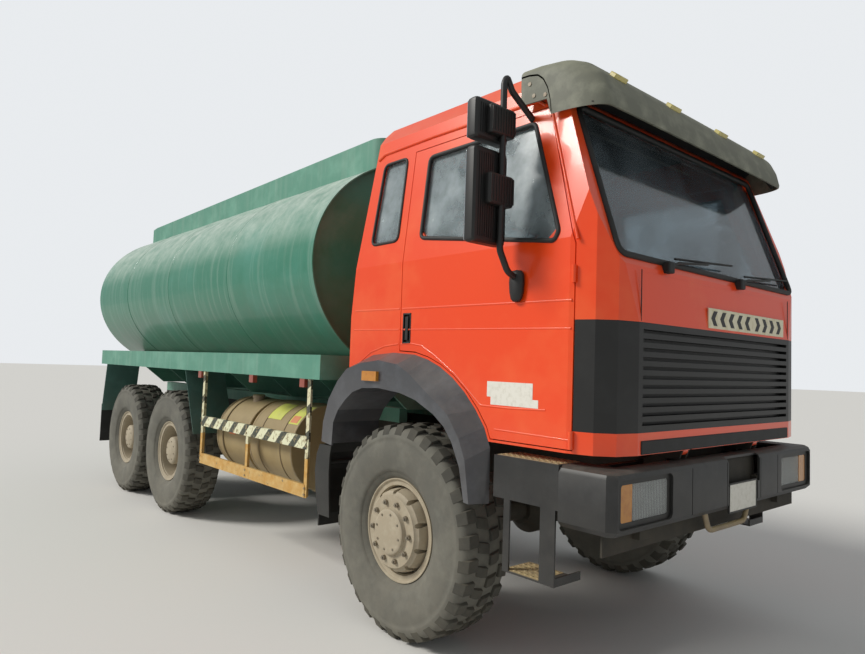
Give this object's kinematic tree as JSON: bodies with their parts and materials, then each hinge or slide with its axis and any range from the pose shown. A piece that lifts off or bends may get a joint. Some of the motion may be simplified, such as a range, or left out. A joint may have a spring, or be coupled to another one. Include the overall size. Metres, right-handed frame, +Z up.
{
  "type": "tanker truck",
  "caption": "Three-axle forward-control truck with a tilting cab, hinged doors and an oval tank with coaming boards, manhole and rear outlet.",
  "frame": {"origin": "on the ground under the middle of the whole truck", "axes": "+X to the truck's left, +Y towards its rear, +Z up"},
  "size_m": [2.924, 8.23, 3.4517],
  "materials": {
    "cab_paint": "weathered orange-red gloss paint",
    "black_plastic": "faded black moulding",
    "visor_plastic": "bleached grey-black moulding",
    "window_glass": "clear dusty glass",
    "lamp_glass": "ribbed lamp glass",
    "amber_plastic": "amber lens",
    "seat_cover": "dark woven cloth",
    "frame_paint": "dusty black paint",
    "engine_iron": "oily casting",
    "radiator_metal": "dull fins",
    "bumper_paint": "scuffed dark grey paint",
    "deck_paint": "faded teal green paint",
    "tank_paint": "dusty dark green paint",
    "guard_paint": "worn cream and ochre paint",
    "fuel_tank_paint": "beige paint with dust",
    "flap_rubber": "dull sheet rubber",
    "tyre_rubber": "dusty tread rubber",
    "wheel_paint": "beige paint under dust"
  },
  "bodies": {
    "chassis": {"chassis_frame": "frame_paint", "front_axle": "frame_paint", "rear_axles": "frame_paint", "leaf_springs": "frame_paint", "engine": "engine_iron", "driveline": "frame_paint", "radiator": "radiator_metal", "front_bumper": "bumper_paint", "headlamps": "lamp_glass", "front_indicators": "amber_plastic", "cab_steps": "bumper_paint", "front_mudguards": "black_plastic", "mud_flaps": "flap_rubber", "fuel_tank": "fuel_tank_paint", "battery_box": "frame_paint", "air_bottles": "frame_paint", "side_guards": "guard_paint", "rear_mudguards": "deck_paint", "deck_frame": "deck_paint", "tank": "tank_paint", "tank_coaming": "deck_paint", "outlet_pipe": "tank_paint", "side_lamps": "amber_plastic"},
    "cab": {"cab_body": "cab_paint", "front_panel": "cab_paint", "grille": "black_plastic", "windscreen": "window_glass", "cab_windows": "window_glass", "sun_visor": "visor_plastic", "marker_lamps": "amber_plastic", "arch_trims": "black_plastic", "seats": "seat_cover", "dashboard": "black_plastic", "steering_wheel": "black_plastic"},
    "left_door": {"door_left": "cab_paint", "door_glass_left": "window_glass", "mirror_left": "black_plastic"},
    "right_door": {"door_right": "cab_paint", "door_glass_right": "window_glass", "mirror_right": "black_plastic"},
    "manhole_cover": {"manhole_lid": "tank_paint"},
    "left_knuckle": {"steering_knuckle_left": "frame_paint"},
    "right_knuckle": {"steering_knuckle_right": "frame_paint"},
    "front_left_road_wheel": {"front_tyre_left": "tyre_rubber", "front_wheel_left": "wheel_paint"},
    "front_right_road_wheel": {"front_tyre_right": "tyre_rubber", "front_wheel_right": "wheel_paint"},
    "middle_left_road_wheel": {"middle_tyre_left": "tyre_rubber", "middle_wheel_left": "wheel_paint"},
    "middle_right_road_wheel": {"middle_tyre_right": "tyre_rubber", "middle_wheel_right": "wheel_paint"},
    "rear_left_road_wheel": {"rear_tyre_left": "tyre_rubber", "rear_wheel_left": "wheel_paint"},
    "rear_right_road_wheel": {"rear_tyre_right": "tyre_rubber", "rear_wheel_right": "wheel_paint"}
  },
  "joints": [
    {"name": "steer_left", "type": "hinge", "parent": "chassis", "child": "left_knuckle", "pos_m": [1, -2.7, 0.62], "axis": [0, 0, 1], "range_deg": [-30, 30]},
    {"name": "steer_right", "type": "hinge", "parent": "chassis", "child": "right_knuckle", "pos_m": [-1, -2.7, 0.62], "axis": [0, 0, 1], "range_deg": [-30, 30]},
    {"name": "front_left_spin", "type": "hinge", "parent": "left_knuckle", "child": "front_left_road_wheel", "pos_m": [1.0825, -2.7, 0.62], "axis": [1, 0, 0], "continuous": true},
    {"name": "front_right_spin", "type": "hinge", "parent": "right_knuckle", "child": "front_right_road_wheel", "pos_m": [-1.0825, -2.7, 0.62], "axis": [1, 0, 0], "continuous": true},
    {"name": "middle_left_spin", "type": "hinge", "parent": "chassis", "child": "middle_left_road_wheel", "pos_m": [1.0425, 1.15, 0.62], "axis": [1, 0, 0], "continuous": true},
    {"name": "middle_right_spin", "type": "hinge", "parent": "chassis", "child": "middle_right_road_wheel", "pos_m": [-1.0425, 1.15, 0.62], "axis": [1, 0, 0], "continuous": true},
    {"name": "rear_left_spin", "type": "hinge", "parent": "chassis", "child": "rear_left_road_wheel", "pos_m": [1.0425, 2.51, 0.62], "axis": [1, 0, 0], "continuous": true},
    {"name": "rear_right_spin", "type": "hinge", "parent": "chassis", "child": "rear_right_road_wheel", "pos_m": [-1.0425, 2.51, 0.62], "axis": [1, 0, 0], "continuous": true},
    {"name": "left_door_swing", "type": "hinge", "parent": "cab", "child": "left_door", "pos_m": [1.142, -3.862, 1.725], "axis": [0, 0, -1], "range_deg": [0, 75]},
    {"name": "right_door_swing", "type": "hinge", "parent": "cab", "child": "right_door", "pos_m": [-1.142, -3.862, 1.725], "axis": [0, 0, 1], "range_deg": [0, 75]},
    {"name": "cab_tilt", "type": "hinge", "parent": "chassis", "child": "cab", "pos_m": [0, -4.028, 1.196], "axis": [1, 0, 0], "range_deg": [0, 60]},
    {"name": "manhole_swing", "type": "hinge", "parent": "chassis", "child": "manhole_cover", "pos_m": [0, 0.895, 3.383], "axis": [-1, 0, 0], "range_deg": [0, 100]}
  ],
  "couplings": [
    {"joint": "steer_right", "follows": "steer_left", "ratio": 1}
  ]
}
